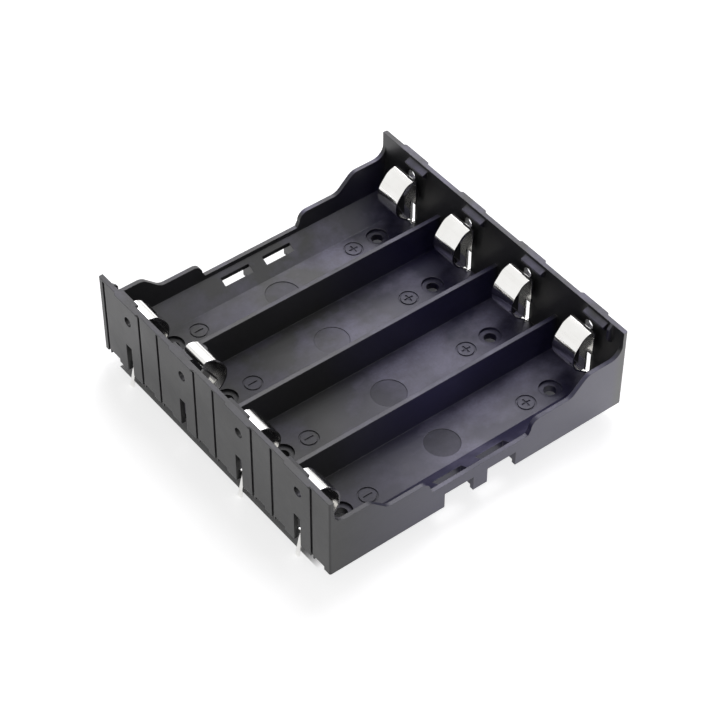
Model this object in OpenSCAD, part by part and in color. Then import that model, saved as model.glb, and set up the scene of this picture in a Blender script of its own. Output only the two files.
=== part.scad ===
// Four-bay holder for cylindrical cells, for soldering or screwing to a board.
// X runs along the cells, Y across the bays, Z up from the underside of the tray.
// The origin is the middle of the tray's underside, amid the screw holes.

/* [Tray] */
// Length of the tray along the cells, over its end walls
tray_length = 77; // [74:0.5:90]
// Width of the tray across the bays, over its side walls
tray_width = 80; // [78:0.5:96]
// Height of the end walls above the underside
wall_height = 21; // [20:0.5:26]
// Thickness of each end wall
end_wall = 1.1; // [0.9:0.05:1.6]
// Thickness of each side wall
side_wall = 1; // [0.8:0.05:1.6]
// Radius of the upright outer corners
corner_radius = 0.4; // [0.2:0.1:1]

/* [Floor] */
// Height of the floor's top face
floor_top = 2.4; // [2:0.1:3.2]
// Thickness of the floor plate
floor_thickness = 1.5; // [1:0.1:1.8]
// Width of the sloped strip beside each side wall
strip_width = 5.8; // [4:0.1:7]
// Rise of that strip where it meets the side wall
strip_rise = 3.15; // [2:0.05:3.3]

/* [Partitions] */
// Height of the partitions' top edge
partition_height = 10.5; // [7:0.1:13]
// Thickness of a partition at its top
partition_top = 1; // [0.8:0.1:1.4]
// Thickness of a partition where it meets the floor
partition_base = 2; // [1.4:0.1:2.4]

/* [Side walls] */
// Height of the shoulder beside each end wall
shoulder_height = 14.4; // [13:0.1:16]
// Height of the step between shoulder and dip
step_height = 10.3; // [9:0.1:12]
// Height of the dip at mid length
dip_height = 6.7; // [6.5:0.1:8]
// Length of the dip at its foot
dip_length = 25; // [20:0.5:30]
// Length of the step's flat edge, with its rounded corner
step_length = 11.4; // [9:0.1:13]
// Length of the slope between step and shoulder
slope_length = 4.4; // [3:0.1:5]
// Radius of the hollow between shoulder and end wall
hollow_radius = 3; // [2:0.1:4]
// Radius of the step's rounded corner
step_radius = 2.3; // [1:0.1:3]
// Run of the steep edge from that corner down to the dip
drop_run = 0.7; // [0.3:0.1:1.2]
// Radius of the two bends of the slope
slope_radius = 3; // [0.5:0.1:3.2]

/* [Side windows] */
// Length of each window at the foot of a side wall
window_length = 7.5; // [5:0.1:9]
// Width of the tab between a wall's two windows
window_tab = 3.7; // [2:0.1:6]
// Height of the windows
window_height = 3.9; // [3.6:0.1:4.4]
// Reach of the windows inward from the outer face
window_reach = 4.05; // [3.5:0.05:4.5]
// Width of the slot that opens each window through the sloped strip
slot_width = 1.9; // [1:0.1:2.2]

/* [End walls] */
// Width of the lip above each bay, at its outer edge
lip_width = 7.6; // [4:0.1:12]
// Reach of the lip beyond the wall
lip_reach = 0.45; // [0.2:0.05:0.8]
// Height of the lip's upright edge
lip_height = 0.4; // [0.2:0.05:0.8]
// Width of the outer grooves
groove_width = 0.8; // [0.4:0.1:1.2]
// Depth of the outer grooves
groove_depth = 0.45; // [0.2:0.05:0.6]
// Plain band left above the grooves
groove_stop = 0.4; // [0.2:0.1:2]
// Offset of the first groove from its bay
groove_offset_a = 4.4; // [3:0.05:6]
// Offset of the second groove from its bay
groove_offset_b = -8.65; // [-9:0.05:-7]
// Diameter of the round hole behind each contact
peep_diameter = 2.4; // [1.6:0.1:3]
// Height of that hole
peep_height = 15.6; // [14.6:0.1:16]
// Rise of the relieved stretches of the bottom rim
relief_rise = 0.9; // [0.3:0.1:0.9]
// Length of each relieved stretch
relief_length = 3.3; // [1:0.1:4]
// Offset of the first relieved stretch from its bay
relief_offset_a = 6.8; // [6.5:0.05:7.5]
// Offset of the second relieved stretch from its bay
relief_offset_b = -6.3; // [-6.5:0.05:-5.5]

/* [Catches] */
// Width of the sloped catch above each contact
catch_width = 6.3; // [4:0.1:8]
// Reach of the catch from the wall
catch_reach = 1.35; // [0.8:0.05:1.8]
// Offset of the catch from its bay
catch_offset = -2.3; // [-3:0.1:0]
// Distance of the catch from the top of the wall
catch_drop = 0.75; // [0.4:0.05:1.2]
// Fall of the catch's top face from the wall to its edge
catch_fall = 0.55; // [0.2:0.05:1]
// Width of the small rib in one corner of each end wall
rib_width = 0.7; // [0.5:0.1:1.2]
// Reach of the small rib
rib_reach = 1.1; // [0.6:0.1:1.6]
// Length of the small rib
rib_length = 4; // [2:0.5:6]
// Gap between the small rib and the side wall
rib_gap = 2.35; // [1.5:0.05:4]

/* [Screw holes and marks] */
// Distance between the two screw holes of a bay
screw_spacing = 55.6; // [52:0.1:60]
// Diameter of the screw holes
screw_diameter = 2.8; // [2.2:0.1:3.4]
// Diameter of the recess for the screw head
head_diameter = 5; // [4:0.1:6]
// Depth of that recess
head_depth = 0.7; // [0.3:0.1:0.8]
// Diameter of the boss under the floor
boss_diameter = 7; // [6.5:0.1:8]
// Distance between the two polarity marks of a bay
mark_spacing = 42.1; // [36:0.1:44]
// Diameter of the ring round each mark
mark_diameter = 4.4; // [3:0.1:6]
// Length of a mark's bar
mark_bar = 2.2; // [1:0.1:2.6]
// Width of the engraved lines
mark_line = 0.35; // [0.2:0.05:0.6]
// Depth of the engraved lines
mark_depth = 0.25; // [0.1:0.05:0.4]
// Diameter of the round shallow disc in each bay
disc_diameter = 7.8; // [5:0.1:10]
// Depth of the disc
disc_depth = 0.15; // [0.05:0.05:0.4]
// Shift of the outer bays' discs towards the middle
disc_shift = 1.9; // [0:0.1:3]

/* [Contacts] */
// Width of a contact strip
contact_width = 6.5; // [5:0.1:9]
// Thickness of the strip
strip_thickness = 0.38; // [0.25:0.01:0.5]
// Reach of the contact's nose from the wall
nose_reach = 7; // [6.4:0.1:7.4]
// Height of the nose
nose_height = 11.2; // [10.6:0.1:11.6]
// Outer radius of the curve at the nose
nose_radius = 5; // [4:0.1:5.6]
// Turn of that curve below the nose, in degrees
nose_turn = 50; // [40:1:55]
// Length of the straight free end
free_end = 3.2; // [1:0.1:3.4]
// Slope of the stretch above the nose, in degrees
front_slope = 52; // [48:1:56]
// Outer radius of the bend above that stretch
shoulder_radius = 3; // [2:0.1:3.6]
// Length of the short top stretch
top_length = 0.7; // [0.3:0.1:1.2]
// Slope of the top stretch, in degrees
top_slope = 14; // [8:1:20]
// Outer radius of the bend above the back plate
bend_radius = 1.1; // [0.7:0.1:1.2]
// Gap between the back plate and the wall
plate_gap = 1.1; // [0.8:0.05:1.3]
// Height of the lower edge of the wide back plate
plate_foot = 9.8; // [8:0.1:10]

/* [Loose contact] */
// Number of the bay whose minus contact has come loose and stands high
loose_bay = 2; // [1:1:4]
// Rise of the bend above its back plate
loose_rise = 2.9; // [2.5:0.1:3]
// Gap between that bend and the catch it has slipped past
loose_gap = 0.7; // [0.4:0.05:0.8]
// Lean of its back plate, in degrees
loose_lean = 31; // [28:1:32]
// Turn of its leg back to the notch, in degrees
loose_leg_turn = 37; // [35:1:39]
// Inner radius of the bend between that plate and leg
knee_radius = 0.5; // [0.3:0.1:0.7]

/* [Pins] */
// Width of the leg below the plate
leg_width = 1.9; // [1.4:0.1:2.2]
// Width of the solder pin
pin_width = 1; // [0.6:0.1:1.3]
// Depth of the pin's tip below the tray
pin_depth = 4; // [2:0.1:5]
// Splay of the pin, in degrees
pin_splay = 11.8; // [4:0.1:14]
// Distance of the pin's upper end from the wall's inner face
pin_set = 0; // [-0.1:0.05:0.5]
// Reach of the foot past the pin
pin_heel = 0.15; // [0.1:0.05:0.2]
// Shift of leg and notch from the middle of the bay
leg_offset = -0.4; // [-0.8:0.05:0]
// Clearance on each side of the leg in its notch
leg_clearance = 0.1; // [0.05:0.05:0.3]
// Height of the notch
notch_height = 8; // [6:0.1:8]
// Reach of the notch from the inner face into the floor
notch_reach = 1; // [0.8:0.1:1.4]

/* [Hidden] */
$fn = 64;

bay_count = 4;
pair = [-1, 1];
end_x = tray_length / 2;
wall_x = end_x - end_wall;
bay_pitch = (tray_width - side_wall) / bay_count;
side_y = tray_width / 2;
inner_y = side_y - side_wall;
strip_y = inner_y - strip_width;
floor_under = floor_top - floor_thickness;

// How far a cut runs past the face it opens
past = 1;
// Steps of each rounded corner in the side walls' outline
corner_steps = 10;
// Steps of each bend of a contact
bend_steps = 24;

// The side walls' outline, from mid length to one end
dip_x = dip_length / 2;
corner_x = dip_x + drop_run;
step_x = dip_x + step_length;
shoulder_x = step_x + slope_length;
slope_angle = atan2(shoulder_height - step_height, slope_length);
slope_set = slope_radius * tan(slope_angle / 2);

// Contact profile: distance from the wall, then height
top_normal = 90 - top_slope;
front_normal = 90 - front_slope;
shoulder_turn = top_normal - front_normal;
nose_centre = [nose_reach - nose_radius, nose_height];

// The stretch above the nose touches nose and shoulder, which sets the height of the bend
bend_x = plate_gap + bend_radius;
front_line = nose_centre * [cos(front_normal), sin(front_normal)] + nose_radius;
shoulder_line = front_line - shoulder_radius
    + (shoulder_radius - bend_radius) * cos(shoulder_turn) - top_length * sin(shoulder_turn);
bend_height = (shoulder_line - bend_x * cos(front_normal)) / sin(front_normal);
bend_centre = [bend_x, bend_height];
shoulder_centre = around(around(bend_centre, bend_radius - shoulder_radius, top_normal),
    top_length, top_normal - 90);

plate_length = bend_height - plate_foot;
pin_top = floor_top + strip_thickness / 2;

// The loose contact's leg, with the bend that joins it to the leaning plate
plate_end = around(around(bend_centre, bend_radius, 180 + loose_lean), plate_length, loose_lean - 90);
knee_centre = around(plate_end, -knee_radius, loose_lean);
leg_start = around(knee_centre, knee_radius, -loose_leg_turn);

// One side of the bent strip, from the back plate's foot to the free end
function strip_side(inset, lean) = concat(
    [around(around(bend_centre, bend_radius - inset, 180 + lean), plate_length, lean - 90)],
    arc(bend_centre, bend_radius - inset, 180 + lean, top_normal, bend_steps),
    arc(shoulder_centre, shoulder_radius - inset, top_normal, front_normal, bend_steps),
    arc(nose_centre, nose_radius - inset, front_normal, -nose_turn, bend_steps),
    [around(around(nose_centre, nose_radius - inset, -nose_turn), free_end, -nose_turn - 90)]);

// Middle of a bay, counted from 1 at the back
function bay_y(bay) = bay_pitch * ((bay_count + 1) / 2 - bay);

// Point at a distance and an angle from a centre
function around(centre, radius, angle) = centre + radius * [cos(angle), sin(angle)];

// One side of the loose contact's leg, from within its plate to the foot
function loose_leg_side(inset) = concat(
    [around(around(plate_end, inset, loose_lean), -strip_thickness, loose_lean - 90)],
    arc(knee_centre, knee_radius + inset, loose_lean, -loose_leg_turn, bend_steps),
    [around(around(leg_start, inset, -loose_leg_turn), plate_foot - floor_top, -loose_leg_turn - 90)]);

// Points along an arc
function arc(centre, radius, from, to, steps) =
    [for (i = [0:steps]) around(centre, radius, from + (to - from) * i / steps)];

// The same points, last one first
function backward(points) = [for (i = [len(points) - 1:-1:0]) points[i]];

// Outline of half a side wall, closed along mid length and the bottom
function half_wall() = concat(
    [[0, 0], [0, dip_height], [dip_x, dip_height]],
    arc([corner_x + step_radius, step_height - step_radius], step_radius, 180, 90, corner_steps),
    arc([step_x - slope_set, step_height + slope_radius],
        slope_radius, -90, slope_angle - 90, corner_steps),
    arc([shoulder_x + slope_set, shoulder_height - slope_radius],
        slope_radius, slope_angle + 90, 90, corner_steps),
    arc([wall_x - hollow_radius, shoulder_height + hollow_radius],
        hollow_radius, -90, 0, corner_steps),
    [[wall_x, wall_height], [end_x, wall_height], [end_x, 0]]);

// Stands an XY outline upright in the XZ plane, with its thickness along Y about a middle
module upright(thickness, middle = 0) {
    translate([0, middle + thickness / 2, 0])
        rotate([90, 0, 0])
            linear_extrude(height = thickness)
                children();
}

// Lays an outline of Y and Z along X, about mid length
module lengthwise(length) {
    rotate([90, 0, 90])
        linear_extrude(height = length, center = true)
            children();
}

// What is drawn for the end at +X, and the same again at the other end, turned half round
module both_ends() {
    children();
    rotate([0, 0, 180])
        children();
}

// Block between two corners
module block(low, high) {
    translate(low)
        cube(high - low);
}

module side_walls() {
    for (side = pair)
        upright(side_wall, side * (side_y - side_wall / 2)) {
            polygon(half_wall());
            mirror([1, 0])
                polygon(half_wall());
        }
}

module end_walls() {
    for (side = pair)
        translate([side * (end_x - end_wall / 2), 0, wall_height / 2])
            cube([end_wall, tray_width, wall_height], center = true);
}

// Strip of floor that slopes up to the side wall
module sloped_strip() {
    lengthwise(2 * wall_x)
        polygon([
            [strip_y, floor_under],
            [inner_y, floor_under],
            [inner_y, floor_top + strip_rise],
            [strip_y, floor_top]]);
}

module floor_plate() {
    block([-wall_x, -inner_y, floor_under], [wall_x, inner_y, floor_top]);
    sloped_strip();
    mirror([0, 1, 0])
        sloped_strip();
}

module partitions() {
    for (bay = [1:bay_count - 1])
        lengthwise(2 * wall_x)
            translate([bay_y(bay + 0.5), 0])
                polygon([
                    [-partition_base / 2, floor_top],
                    [partition_base / 2, floor_top],
                    [partition_top / 2, partition_height],
                    [-partition_top / 2, partition_height]]);
}

module screw_bosses() {
    for (bay = [1:bay_count], side = pair)
        translate([side * screw_spacing / 2, bay_y(bay), 0])
            cylinder(d = boss_diameter, h = floor_top);
}

// Lip along the top of an end wall, with slanted ends and a slanted underside
module lip() {
    base_width = lip_width + 2 * lip_reach;
    intersection() {
        upright(base_width)
            polygon([
                [wall_x, wall_height],
                [end_x + lip_reach, wall_height],
                [end_x + lip_reach, wall_height - lip_height],
                [end_x, wall_height - lip_height - lip_reach],
                [wall_x, wall_height - lip_height - lip_reach]]);
        linear_extrude(height = wall_height)
            polygon([
                [wall_x, -base_width / 2],
                [end_x, -base_width / 2],
                [end_x + lip_reach, -lip_width / 2],
                [end_x + lip_reach, lip_width / 2],
                [end_x, base_width / 2],
                [wall_x, base_width / 2]]);
    }
}

// Sloped catch that keeps a contact from lifting
module catch() {
    top = wall_height - catch_drop;
    upright(catch_width, catch_offset)
        polygon([
            [wall_x, top],
            [wall_x - catch_reach, top - catch_fall],
            [wall_x - catch_reach, top - catch_fall - strip_thickness],
            [wall_x, top - catch_fall - strip_thickness - catch_reach]]);
}

// Small upright rib beside a corner, with a slanted foot
module corner_rib() {
    upright(rib_width, -inner_y + rib_gap + rib_width / 2)
        polygon([
            [wall_x, wall_height],
            [wall_x - rib_reach, wall_height - rib_reach],
            [wall_x - rib_reach, wall_height - rib_length],
            [wall_x, wall_height - rib_length - rib_reach]]);
}

// What an end wall has on it, drawn for the end at +X
module end_details() {
    for (bay = [1:bay_count])
        translate([0, bay_y(bay), 0]) {
            lip();
            catch();
        }
    corner_rib();
}

// Groove down the outside of an end wall
module groove(middle) {
    block([end_x - groove_depth, middle - groove_width / 2, -past],
          [end_x + past, middle + groove_width / 2, wall_height - groove_stop]);
}

// Stretch of an end wall's bottom rim that stands clear of the board
module relief(middle) {
    block([wall_x, middle - relief_length / 2, -past],
          [end_x + past, middle + relief_length / 2, relief_rise]);
}

// Slot for a contact's leg, through wall and floor
module notch() {
    half = leg_width / 2 + leg_clearance;
    block([wall_x - notch_reach, leg_offset - half, -past],
          [end_x + past, leg_offset + half, notch_height]);
}

module end_cuts() {
    for (bay = [1:bay_count])
        translate([0, bay_y(bay), 0]) {
            groove(groove_offset_a);
            groove(groove_offset_b);
            relief(relief_offset_a);
            relief(relief_offset_b);
            notch();
            translate([wall_x - past, 0, peep_height])
                rotate([0, 90, 0])
                    cylinder(d = peep_diameter, h = end_wall + 2 * past);
        }
}

// Windows at the foot of both side walls, open upward through the sloped strip
module windows() {
    near = window_tab / 2;
    far = near + window_length;
    slot_y = side_y - window_reach;
    for (end = [0, 1], side = [0, 1])
        mirror([end, 0, 0])
            mirror([0, side, 0]) {
                block([near, slot_y, -past], [far, side_y + past, window_height]);
                block([near, slot_y, -past], [far, slot_y + slot_width, wall_height]);
            }
}

module screw_hole() {
    translate([0, 0, -past])
        cylinder(d = screw_diameter, h = floor_top + 2 * past);
    translate([0, 0, floor_top - head_depth])
        cylinder(d = head_diameter, h = head_depth + past);
}

module mark_ring() {
    translate([0, 0, floor_top - mark_depth])
        difference() {
            cylinder(d = mark_diameter, h = mark_depth + past);
            translate([0, 0, -past])
                cylinder(d = mark_diameter - 2 * mark_line, h = mark_depth + 3 * past);
        }
}

module mark_stroke(length, width) {
    translate([0, 0, floor_top - mark_depth / 2 + past / 2])
        cube([length, width, mark_depth + past], center = true);
}

module floor_cuts() {
    for (bay = [1:bay_count]) {
        outer = abs(bay_y(bay)) > bay_pitch;
        shift = outer ? -sign(bay_y(bay)) * disc_shift : 0;
        translate([0, bay_y(bay), 0]) {
            for (side = pair) {
                translate([side * screw_spacing / 2, 0, 0])
                    screw_hole();
                translate([side * mark_spacing / 2, 0, 0]) {
                    mark_ring();
                    mark_stroke(mark_bar, mark_line);
                }
            }
            translate([mark_spacing / 2, 0, 0])
                mark_stroke(mark_line, mark_bar);
            translate([0, shift, floor_top - disc_depth])
                cylinder(d = disc_diameter, h = disc_depth + past);
        }
    }
}

// Upright outer edges with a small radius
module rounded_block() {
    translate([0, 0, -past])
        linear_extrude(height = wall_height + 2 * past) {
            square([2 * end_x - 2 * corner_radius, tray_width], center = true);
            square([2 * end_x, tray_width - 2 * corner_radius], center = true);
            for (x = pair, y = pair)
                translate([x * (end_x - corner_radius), y * (side_y - corner_radius)])
                    circle(r = corner_radius);
        }
}

// The moulded tray, in one piece
module tray() {
    color("#33333a")
        difference() {
            union() {
                intersection() {
                    union() {
                        side_walls();
                        end_walls();
                    }
                    rounded_block();
                }
                floor_plate();
                partitions();
                screw_bosses();
                both_ends()
                    end_details();
            }
            both_ends()
                end_cuts();
            windows();
            floor_cuts();
        }
}

// Side view of the contact above its leg: distance from the wall, then height
module strip_profile(lean) {
    polygon(concat(strip_side(0, lean), backward(strip_side(strip_thickness, lean))));
}

// Narrow leg from the back plate to the floor
module leg_profile() {
    translate([plate_gap, floor_top])
        square([strip_thickness, plate_foot - floor_top + strip_thickness]);
}

// Foot that turns out from the leg into the notch
module foot_profile() {
    heel = pin_set - pin_heel;
    translate([heel, floor_top])
        square([plate_gap + strip_thickness - heel, strip_thickness]);
}

// Splayed pin, from within the foot down to its tip
module pin_profile() {
    lean = (pin_top + pin_depth) * tan(pin_splay);
    polygon([
        [pin_set, pin_top],
        [pin_set - lean, -pin_depth],
        [pin_set - lean + strip_thickness, -pin_depth],
        [pin_set + strip_thickness, pin_top]]);
}

// One contact strip, on the middle of its bay, with X as the distance from the wall
module strip() {
    upright(contact_width)
        strip_profile(0);
    upright(leg_width, leg_offset) {
        leg_profile();
        foot_profile();
    }
    upright(pin_width, leg_offset)
        pin_profile();
}

// Turns an outline about a point and moves that point to another
module moved(from, to, turn) {
    translate(to)
        rotate(turn)
            translate(-from)
                children();
}

// The contact that has come loose: high, with its back plate pushed in at the foot
module loose_strip() {
    knee = [plate_gap, plate_foot];
    pin_root = [pin_set, pin_top];
    translate([catch_reach + loose_gap - plate_gap, 0, loose_rise]) {
        upright(contact_width)
            strip_profile(loose_lean);
        upright(leg_width, leg_offset) {
            polygon(concat(loose_leg_side(0), backward(loose_leg_side(strip_thickness))));
            moved(knee, leg_start, -loose_leg_turn)
                foot_profile();
        }
        upright(pin_width, leg_offset)
            moved(knee, leg_start, -loose_leg_turn)
                moved(pin_root, pin_root, loose_leg_turn + pin_splay)
                    pin_profile();
    }
}

// Puts a strip at the end wall at +X
module at_wall() {
    translate([wall_x, 0, 0])
        mirror([1, 0, 0])
            children();
}

module minus_contact(bay) {
    color("silver")
        translate([0, bay_y(bay), 0])
            rotate([0, 0, 180])
                at_wall()
                    if (bay == loose_bay)
                        loose_strip();
                    else
                        strip();
}

module plus_contact(bay) {
    color("silver")
        translate([0, bay_y(bay), 0])
            at_wall()
                strip();
}

tray();
minus_contact(1);  // minus_contact_1
minus_contact(2);  // minus_contact_2
minus_contact(3);  // minus_contact_3
minus_contact(4);  // minus_contact_4
plus_contact(1);  // plus_contact_1
plus_contact(2);  // plus_contact_2
plus_contact(3);  // plus_contact_3
plus_contact(4);  // plus_contact_4
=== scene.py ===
import math

import bpy
from mathutils import Matrix, Vector


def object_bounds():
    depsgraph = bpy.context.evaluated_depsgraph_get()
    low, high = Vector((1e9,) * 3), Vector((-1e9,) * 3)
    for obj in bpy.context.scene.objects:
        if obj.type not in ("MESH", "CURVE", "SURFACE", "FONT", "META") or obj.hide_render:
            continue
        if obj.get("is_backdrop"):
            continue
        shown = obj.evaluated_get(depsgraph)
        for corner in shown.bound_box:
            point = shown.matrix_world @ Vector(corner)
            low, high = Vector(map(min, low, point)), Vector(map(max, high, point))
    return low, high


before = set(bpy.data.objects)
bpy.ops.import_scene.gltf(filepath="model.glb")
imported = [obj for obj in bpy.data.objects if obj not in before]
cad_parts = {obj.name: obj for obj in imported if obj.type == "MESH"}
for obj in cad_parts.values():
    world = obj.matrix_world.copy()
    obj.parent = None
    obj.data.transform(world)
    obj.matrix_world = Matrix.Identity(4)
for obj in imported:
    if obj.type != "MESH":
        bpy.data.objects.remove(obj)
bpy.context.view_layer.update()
print("frame loaded:", len(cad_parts), "nodes")

mm = 0.001

# Camera, set to the photograph's viewing angle
cameraLook = {
    "azimuth": -37.907,      # degrees, 0 looks along +Y
    "elevation": 45.894,
    "roll": 0.207,
    "distance": 510.96,      # mm from the point looked at
    "lookedAt": (0, 0, 10),  # mm
    "sideShift": -0.052,     # mm along the camera's right
    "rise": -4.019,          # mm along the camera's up
    "lens": 121.35,          # mm, on a sensor of the next width
    "sensor": 36,
    "clip": (0.01, 10),      # metres, nearest and farthest seen
}


def makeCamera(look):
    azimuth = math.radians(look["azimuth"])
    elevation = math.radians(look["elevation"])
    roll = math.radians(look["roll"])
    back = Vector((math.sin(azimuth) * math.cos(elevation),
                   -math.cos(azimuth) * math.cos(elevation),
                   math.sin(elevation)))
    right = Vector((math.cos(azimuth), math.sin(azimuth), 0))
    up = back.cross(right)
    tiltedRight = math.cos(roll) * right + math.sin(roll) * up
    tiltedUp = math.cos(roll) * up - math.sin(roll) * right
    place = (Vector(look["lookedAt"]) + back * look["distance"]
             + tiltedRight * look["sideShift"] + tiltedUp * look["rise"]) * mm
    data = bpy.data.cameras.new("photoCamera")
    data.lens = look["lens"]
    data.sensor_width = look["sensor"]
    data.clip_start, data.clip_end = look["clip"]
    camera = bpy.data.objects.new("photoCamera", data)
    bpy.context.scene.collection.objects.link(camera)
    turn = Matrix((tiltedRight, tiltedUp, back)).transposed().to_4x4()
    camera.matrix_world = Matrix.Translation(place) @ turn
    bpy.context.scene.camera = camera


makeCamera(cameraLook)
print("camera made")


# Small helpers for materials
def newMaterial(name):
    material = bpy.data.materials.new(name)
    material.use_nodes = True
    material.node_tree.nodes.clear()
    return material


def fillInputs(tree, node, inputs):
    # A value is set on its socket, a socket is linked to it
    for key, value in inputs.items():
        if isinstance(value, bpy.types.NodeSocket):
            tree.links.new(value, node.inputs[key])
        else:
            node.inputs[key].default_value = value


def addNode(tree, kind, inputs=None, **settings):
    node = tree.nodes.new("ShaderNode" + kind)
    for key, value in settings.items():
        setattr(node, key, value)
    fillInputs(tree, node, inputs or {})
    return node


def useGroup(tree, group, inputs):
    node = tree.nodes.new("ShaderNodeGroup")
    node.node_tree = group
    fillInputs(tree, node, inputs)
    return node.outputs


def calculate(tree, how, first, second=0.0, clamp=False):
    node = addNode(tree, "Math", {0: first, 1: second}, operation=how, use_clamp=clamp)
    return node.outputs[0]


def multiply(tree, first, *others):
    for value in others:
        first = calculate(tree, "MULTIPLY", first, value)
    return first


def spread(tree, source, low, high, fromLow=0.3, fromHigh=0.7):
    # Turns a stretch of one value, a noise's usual one unless given, into a range of another
    node = addNode(tree, "MapRange", {"Value": source, "From Min": fromLow, "From Max": fromHigh,
                                      "To Min": low, "To Max": high})
    return node.outputs[0]


def splitVector(tree, vector):
    return addNode(tree, "SeparateXYZ", {0: vector}).outputs


def dotProduct(tree, first, second):
    node = addNode(tree, "VectorMath", {0: first, 1: second}, operation="DOT_PRODUCT")
    return node.outputs["Value"]


def mixColour(tree, how, amount, first, second):
    def ready(value):
        return value if isinstance(value, bpy.types.NodeSocket) else (*value, 1)
    node = addNode(tree, "Mix", {0: amount, 6: ready(first), 7: ready(second)},
                   data_type="RGBA", blend_type=how)
    return node.outputs[2]


def noise(tree, place, scale, detail=2.0, roughness=0.5, stretch=None):
    if stretch:
        place = addNode(tree, "Mapping", {"Vector": place, "Scale": stretch}).outputs[0]
    settings = {"Vector": place, "Scale": scale, "Detail": detail, "Roughness": roughness}
    return addNode(tree, "TexNoise", settings).outputs["Fac"]


def objectPlace(tree):
    return addNode(tree, "TexCoord").outputs["Object"]


def roundedNormal(tree, radius, samples=6):
    return addNode(tree, "Bevel", {"Radius": radius}, samples=samples).outputs[0]


def newGroup(name, inputs, outputs):
    # An input without a value is a place
    tree = bpy.data.node_groups.new(name, "ShaderNodeTree")
    for label, value in inputs.items():
        kind = "NodeSocketVector" if value is None else "NodeSocketFloat"
        socket = tree.interface.new_socket(label, in_out="INPUT", socket_type=kind)
        if value is not None:
            socket.default_value = value
    for label in outputs:
        tree.interface.new_socket(label, in_out="OUTPUT", socket_type="NodeSocketFloat")
    entry = tree.nodes.new("NodeGroupInput").outputs
    result = tree.nodes.new("NodeGroupOutput").inputs
    return tree, entry, result


# Wear along edges, partly a painted edge highlight, shared by the materials
edgeLook = {
    "turn": (0.01, 0.22),    # how far the rounded normal turns where wear begins and is full
    "patchScale": 260,
    "patchDetail": 3,
    "patches": (0.35, 0.65),
}


def makeEdgeGroup(look):
    # Finds outer and inner edges from how far a rounded normal turns from the true one
    inputs = {"Place": None, "Radius": 0.0003, "Patchiness": 0.5}
    tree, entry, result = newGroup("edgeWearAndHighlight", inputs, ["Mask"])
    straight = addNode(tree, "NewGeometry").outputs["Normal"]
    alike = dotProduct(tree, roundedNormal(tree, entry["Radius"]), straight)
    turn = calculate(tree, "SUBTRACT", 1.0, alike, clamp=True)
    edge = spread(tree, turn, 0.0, 1.0, *look["turn"])
    uneven = noise(tree, entry["Place"], look["patchScale"], look["patchDetail"])
    patches = spread(tree, uneven, 0.0, 1.0, *look["patches"])
    keep = calculate(tree, "SUBTRACT", 1.0, multiply(tree, patches, entry["Patchiness"]))
    tree.links.new(calculate(tree, "MULTIPLY", edge, keep, clamp=True), result["Mask"])
    return tree


# Fine grain of moulded plastic
grainLook = {
    "slowShare": 0.12,       # scale of the slower wave, as a share of the grain's
    "cloudShare": 0.009,
    "cloudDetail": 4,
    "cloudRoughness": 0.55,
}


def makeGrainGroup(look):
    # Fine uneven grain with a slower wave under it, and wide clouds
    inputs = {"Place": None, "Scale": 5000.0, "Wave": 0.3}
    tree, entry, result = newGroup("fineGrain", inputs, ["Height", "Cloud"])
    fine = noise(tree, entry["Place"], entry["Scale"])
    slow = noise(tree, entry["Place"], multiply(tree, entry["Scale"], look["slowShare"]))
    height = calculate(tree, "ADD", fine, multiply(tree, slow, entry["Wave"]))
    tree.links.new(height, result["Height"])
    cloud = noise(tree, entry["Place"], multiply(tree, entry["Scale"], look["cloudShare"]),
                  look["cloudDetail"], look["cloudRoughness"])
    tree.links.new(cloud, result["Cloud"])
    return tree


# Shallow round discs on the floors, darker than the floor; sizes in metres
discLook = {
    "radius": 0.0039,
    "bayPitch": 0.01975,
    "outerShift": 0.0019,    # the outer bays' discs lie this much nearer the middle
    "dark": (0.25, 0.10, 0.30, 0.55),
    "below": 0.0024,         # only what lies below this height is marked
}


def makeDiscGroup(look):
    # Marks the discs, each with its own depth of tone
    tree, entry, result = newGroup("floorDiscs", {"Place": None}, ["Mask"])
    sides = splitVector(tree, entry["Place"])
    outer = 1.5 * look["bayPitch"] - look["outerShift"]
    inner = 0.5 * look["bayPitch"]
    mask = 0.0
    for middle, tone in zip((outer, inner, -inner, -outer), look["dark"]):
        across = calculate(tree, "SUBTRACT", sides["Y"], middle)
        square = calculate(tree, "ADD", calculate(tree, "POWER", across, 2.0),
                           calculate(tree, "POWER", sides["X"], 2.0))
        inside = calculate(tree, "LESS_THAN", square, look["radius"] ** 2)
        mask = calculate(tree, "ADD", multiply(tree, inside, tone), mask)
    low = calculate(tree, "LESS_THAN", sides["Z"], look["below"])
    tree.links.new(multiply(tree, mask, low), result["Mask"])
    return tree


edgeGroup = makeEdgeGroup(edgeLook)
grainGroup = makeGrainGroup(grainLook)
discGroup = makeDiscGroup(discLook)

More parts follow.
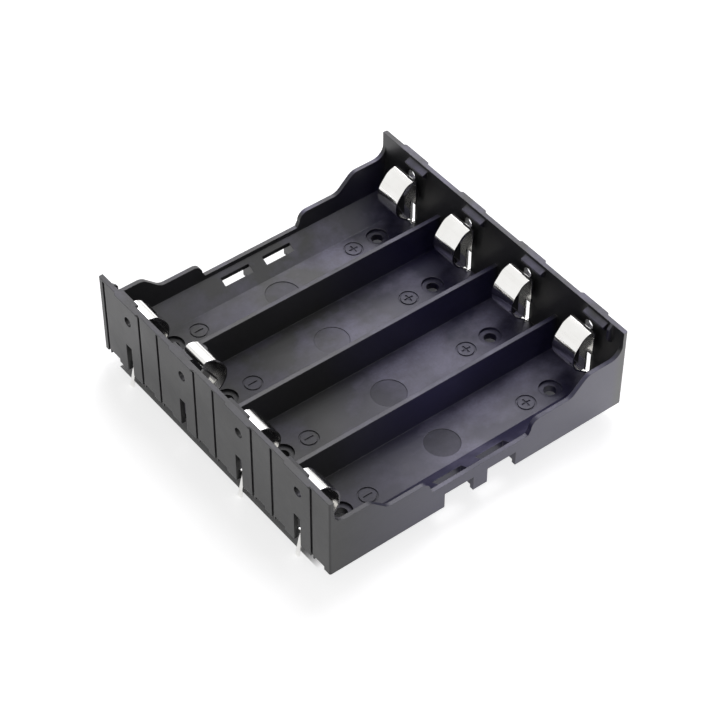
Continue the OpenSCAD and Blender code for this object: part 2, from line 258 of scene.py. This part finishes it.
# Moulded plastic of the tray; places are in metres
mouldingLook = {
    "colour": (0.0095, 0.0095, 0.0105),
    "paintedLightTint": (0.012, 0.0095, 0.043),   # painted cool tint of the light on the half towards +X and -Y
    "tintTurn": (0.83, -0.56, 0.0),     # direction in which the tint grows
    "tintGrows": (-0.008, 0.013),       # along that direction
    "tintFades": (0.0355, 0.0372),      # along X, where the end wall is plain grey again
    "wearAndHighlight": (0.062, 0.061, 0.068),      # along edges: partly wear, partly a painted edge highlight
    "wearAndHighlightAmount": 0.50,
    "edgeRadius": 0.00030,
    "edgePatchiness": 0.45,
    "edgePolish": 0.05,                 # taken off the roughness along edges
    "bevelShare": 0.6,                  # shading radius of edges, as a share of the worn one
    "facing": (0.6, 0.95),              # how straight a face looks up or sideways to count as such
    "paintedSheen": (0.176, 0.164, 0.262),      # painted sheen: pale clouds on upward faces, standing in for the floors' mottled reflection
    "paleAmount": 0.70,
    "paleGrows": (-0.024, 0.006),       # along X, where the clouds come in
    "paleLeast": 0.25,                  # what they have of their strength before that
    "paleScale": 105,
    "paleDetail": 4,
    "paleRoughness": 0.52,
    "paleStretch": (0.85, 1.0, 1.0),
    "palePatches": (0.46, 0.68),
    "speckleScale": 1700,
    "speckle": (0.88, 1.12),
    "discColour": (0.004, 0.004, 0.006),
    "discRough": 0.25,                  # added to the roughness on the discs
    "roughness": (0.36, 0.49),
    "specular": 0.62,
    "refraction": 1.5,
    "floorTop": 0.0025,                 # the floors lie below this
    "floorRough": 0.24,                 # they are duller towards the minus end
    "skinSide": 0.0385,                 # the side walls' outer faces lie beyond this, along Y
    "skinGloss": (0.0, 0.95),           # their second sheen at the minus end and the plus end
    "skinEnds": (-0.034, 0.038),
    "skinRoughness": 0.35,
    "grainScale": 5200,
    "grainWave": 0.5,
    "grainDepth": 0.00003,
    "grainStrength": 0.30,
    "waveScale": 150,                   # slow waves of the moulded skin
    "waveDetail": 3,
    "waveStretch": (0.6, 1.0, 1.0),
    "waveDepth": 0.00030,
    "waveStrength": 0.35,
}


def mouldingColour(tree, look, place, sides, plusEndRamp, masks):
    # painted cool tint of the light, growing towards +X and -Y and fading at the plus end wall
    along = dotProduct(tree, place, look["tintTurn"])
    lightTintShare = multiply(tree, spread(tree, along, 0.0, 1.0, *look["tintGrows"]),
                    spread(tree, sides["X"], 1.0, 0.0, *look["tintFades"]))
    base = mixColour(tree, "MIX", lightTintShare, look["colour"], look["paintedLightTint"])
    # painted sheen: pale clouds on upward faces, stronger towards the plus end
    sheenCloudNoise = noise(tree, place, look["paleScale"], look["paleDetail"], look["paleRoughness"],
                 look["paleStretch"])
    paintedSheen = multiply(tree, spread(tree, sheenCloudNoise, 0.0, 1.0, *look["palePatches"]), look["paleAmount"],
                    masks["upward"], plusEndRamp)
    base = mixColour(tree, "MIX", paintedSheen, base, look["paintedSheen"])
    speckle = spread(tree, noise(tree, place, look["speckleScale"]), *look["speckle"])
    base = mixColour(tree, "MULTIPLY", 1.0, base, speckle)
    base = mixColour(tree, "MIX", masks["disc"], base, look["discColour"])
    # lighter along edges: partly wear, partly a painted edge highlight
    wearAndHighlight = multiply(tree, masks["edge"], look["wearAndHighlightAmount"])
    return mixColour(tree, "MIX", wearAndHighlight, base, look["wearAndHighlight"])


def mouldingRoughness(tree, look, cloud, sides, plusEndRamp, masks):
    rough = spread(tree, cloud, *look["roughness"])
    rough = calculate(tree, "ADD", rough, multiply(tree, masks["disc"], look["discRough"]))
    rough = calculate(tree, "SUBTRACT", rough, multiply(tree, masks["edge"], look["edgePolish"]))
    low = calculate(tree, "LESS_THAN", sides["Z"], look["floorTop"])
    dull = multiply(tree, low, masks["upward"], calculate(tree, "SUBTRACT", 1.0, plusEndRamp))
    return calculate(tree, "ADD", rough, multiply(tree, dull, look["floorRough"]))


def mouldingNormal(tree, look, place, height):
    rounded = roundedNormal(tree, look["edgeRadius"] * look["bevelShare"])
    waves = noise(tree, place, look["waveScale"], look["waveDetail"], stretch=look["waveStretch"])
    wavy = addNode(tree, "Bump", {"Strength": look["waveStrength"], "Distance": look["waveDepth"],
                                  "Height": waves, "Normal": rounded})
    grained = addNode(tree, "Bump", {"Strength": look["grainStrength"],
                                     "Distance": look["grainDepth"],
                                     "Height": height, "Normal": wavy.outputs[0]})
    return grained.outputs[0]


def outerSkin(tree, look, sides, facing):
    # The side walls' outer faces shine more toward the plus end
    beyond = calculate(tree, "GREATER_THAN", calculate(tree, "ABSOLUTE", sides["Y"]),
                       look["skinSide"])
    sideways = spread(tree, calculate(tree, "ABSOLUTE", facing["Y"]), 0.0, 1.0, *look["facing"])
    gloss = spread(tree, sides["X"], *look["skinGloss"], *look["skinEnds"])
    return multiply(tree, beyond, sideways, gloss)


def mouldingMaterial(look):
    material = newMaterial("blackMoulding")
    tree = material.node_tree
    place = objectPlace(tree)
    sides = splitVector(tree, place)
    facing = splitVector(tree, addNode(tree, "NewGeometry").outputs["Normal"])
    grain = useGroup(tree, grainGroup, {"Place": place, "Scale": look["grainScale"],
                                        "Wave": look["grainWave"]})
    edge = useGroup(tree, edgeGroup, {"Place": place, "Radius": look["edgeRadius"],
                                      "Patchiness": look["edgePatchiness"]})
    masks = {
        "edge": edge["Mask"],
        "disc": useGroup(tree, discGroup, {"Place": place})["Mask"],
        "upward": spread(tree, facing["Z"], 0.0, 1.0, *look["facing"]),
    }
    plusEndRamp = spread(tree, sides["X"], look["paleLeast"], 1.0, *look["paleGrows"])
    shader = addNode(tree, "BsdfPrincipled", {
        "Base Color": mouldingColour(tree, look, place, sides, plusEndRamp, masks),
        "Roughness": mouldingRoughness(tree, look, grain["Cloud"], sides, plusEndRamp, masks),
        "Normal": mouldingNormal(tree, look, place, grain["Height"]),
        "IOR": look["refraction"],
        "Specular IOR Level": look["specular"],
        "Coat Weight": outerSkin(tree, look, sides, facing),
        "Coat Roughness": look["skinRoughness"],
    })
    addNode(tree, "OutputMaterial", {"Surface": shader.outputs[0]})
    return material


# Nickel plating of the contacts
platingLook = {
    "colour": (0.90, 0.895, 0.88),
    "dull": (0.80, 0.79, 0.765),
    "cloudScale": 170,
    "cloudDetail": 3,
    "cloudDull": 0.6,                   # how dull the plating is at the most, in its clouds
    "cloudRough": (-0.02, 0.05),        # what the clouds add to the roughness
    "streakScale": 900,                 # rolling marks across the strip, along Y
    "streakDetail": 3,
    "streakRoughness": 0.6,
    "streakStretch": (1.0, 0.04, 1.0),
    "streakDull": 0.5,
    "streakShows": (0.5, 0.8),
    "streakRough": (0.065, 0.155),      # roughness between the streaks and in them
    "streakDepth": 0.000006,            # metres
    "streakStrength": 0.25,
    "edgeRadius": 0.00010,
    "edgePatchiness": 0.3,
    "edgeShine": 0.5,
}


def platingMaterial(look):
    material = newMaterial("nickelPlate")
    tree = material.node_tree
    place = objectPlace(tree)
    streaks = noise(tree, place, look["streakScale"], look["streakDetail"], look["streakRoughness"],
                    look["streakStretch"])
    clouds = noise(tree, place, look["cloudScale"], look["cloudDetail"])
    edge = useGroup(tree, edgeGroup, {"Place": place, "Radius": look["edgeRadius"],
                                      "Patchiness": look["edgePatchiness"]})
    clouded = spread(tree, clouds, 0.0, look["cloudDull"])
    base = mixColour(tree, "MIX", clouded, look["colour"], look["dull"])
    streaked = spread(tree, streaks, 0.0, look["streakDull"], *look["streakShows"])
    base = mixColour(tree, "MIX", streaked, base, look["dull"])
    # edges lifted to the bright plating colour: partly wear, partly a painted highlight
    shining = multiply(tree, edge["Mask"], look["edgeShine"])
    base = mixColour(tree, "MIX", shining, base, look["colour"])
    rough = calculate(tree, "ADD", spread(tree, streaks, *look["streakRough"]),
                      spread(tree, clouds, *look["cloudRough"]))
    bump = addNode(tree, "Bump", {"Strength": look["streakStrength"],
                                  "Distance": look["streakDepth"], "Height": streaks,
                                  "Normal": roundedNormal(tree, look["edgeRadius"])})
    shader = addNode(tree, "BsdfPrincipled", {"Base Color": base, "Metallic": 1.0,
                                              "Roughness": rough, "Normal": bump.outputs[0]})
    addNode(tree, "OutputMaterial", {"Surface": shader.outputs[0]})
    return material


def giveMaterial(piece, material):
    for slot in piece.material_slots:
        slot.material = material


moulding = mouldingMaterial(mouldingLook)
plating = platingMaterial(platingLook)
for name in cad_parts:
    giveMaterial(bpy.data.objects[name], moulding if name == "tray" else plating)
print("materials given")

# Floor and world; sizes in metres
studio = {
    "floorSize": 6,
    "floorColour": 0.80,
    "floorGlow": 0.73,       # seen by the camera and in reflections only
    "worldGlow": 0.19,       # light that the world gives
    "worldSeen": 1.0,        # what the camera and reflections see of it
    "darkEnds": 0.0374,      # half length of the floor under the tray that doesn't glow
    "darkFar": 0.0365,       # where that floor ends at the far side
    "darkNear": (-0.0280, -0.0345),  # and at the near side, where the glow comes in slowly as painted light reaching under the raised tray's near edge
    "nearCurve": 2.0,        # how slowly, as a power
}


def seenRay(tree):
    # 1 for what the camera sees, directly or in a reflection or through glass
    path = addNode(tree, "LightPath").outputs
    seen = calculate(tree, "MAXIMUM", path["Is Camera Ray"], path["Is Glossy Ray"])
    return calculate(tree, "MAXIMUM", seen, path["Is Transmission Ray"])


def besideTray(tree, look):
    # 1 on the floor around the tray, 0 on what the tray covers
    sides = splitVector(tree, objectPlace(tree))
    pastEnds = calculate(tree, "GREATER_THAN", calculate(tree, "ABSOLUTE", sides["X"]),
                         look["darkEnds"])
    pastFar = calculate(tree, "GREATER_THAN", sides["Y"], look["darkFar"])
    # painted light: the glow ramps in under the tray's near edge
    pastNear = spread(tree, sides["Y"], 0.0, 1.0, *look["darkNear"])
    pastNear = calculate(tree, "POWER", pastNear, look["nearCurve"])
    return calculate(tree, "MAXIMUM", calculate(tree, "MAXIMUM", pastEnds, pastFar), pastNear)


def floorMaterial(look):
    material = newMaterial("paleFloor")
    tree = material.node_tree
    grey = look["floorColour"]
    diffuse = addNode(tree, "BsdfDiffuse", {"Color": (grey, grey, grey, 1)})
    glow = multiply(tree, seenRay(tree), besideTray(tree, look), look["floorGlow"])
    emission = addNode(tree, "Emission", {"Color": (1, 1, 1, 1), "Strength": glow})
    both = addNode(tree, "AddShader", {0: diffuse.outputs[0], 1: emission.outputs[0]})
    addNode(tree, "OutputMaterial", {"Surface": both.outputs[0]})
    return material


def makeFloor(look):
    bpy.ops.object.select_all(action="DESELECT")
    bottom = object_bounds()[0].z
    bpy.ops.mesh.primitive_plane_add(size=look["floorSize"], location=(0, 0, bottom))
    floor = bpy.context.active_object
    floor.name = "studioFloor"
    floor.data.materials.append(floorMaterial(look))
    floor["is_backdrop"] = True


def makeWorld(look):
    world = bpy.data.worlds.new("studioWorld")
    bpy.context.scene.world = world
    world.use_nodes = True
    tree = world.node_tree
    background = tree.nodes["Background"]
    background.inputs["Color"].default_value = (1, 1, 1, 1)
    strength = addNode(tree, "Mix", {0: seenRay(tree), 2: look["worldGlow"], 3: look["worldSeen"]},
                       data_type="FLOAT")
    tree.links.new(strength.outputs[0], background.inputs["Strength"])


# Soft lamps, each pointing at the tray; places and sizes in metres, power in watts
softLamps = {
    "backSoftbox": {"place": (0.50, 0.60, 0.60), "size": 0.60, "power": 2.2,
                    "colour": (0.97, 0.95, 1.0)},
    "overheadSoftbox": {"place": (0.32, 0.22, 0.90), "size": 0.42, "power": 2.6,
                        "colour": (0.99, 0.98, 1.0)},
    "frontSoftbox": {"place": (0.85, -0.85, 0.26), "size": 0.60, "power": 4.2,
                     "colour": (0.97, 0.96, 1.0)},
    "leftSoftbox": {"place": (-1.0, -0.05, 0.24), "size": 0.60, "power": 0.7,
                    "colour": (1.0, 1.0, 1.0)},
}


def makeLamps(lamps):
    for name, look in lamps.items():
        data = bpy.data.lights.new(name, "AREA")
        data.shape = "DISK"
        data.size = look["size"]
        data.energy = look["power"]
        data.color = look["colour"]
        lamp = bpy.data.objects.new(name, data)
        bpy.context.scene.collection.objects.link(lamp)
        lamp.location = look["place"]
        lamp.rotation_mode = "QUATERNION"
        lamp.rotation_quaternion = Vector(look["place"]).to_track_quat("Z", "Y")


makeFloor(studio)
makeWorld(studio)
makeLamps(softLamps)
bpy.context.scene.view_settings.view_transform = "Standard"
print("studio made")
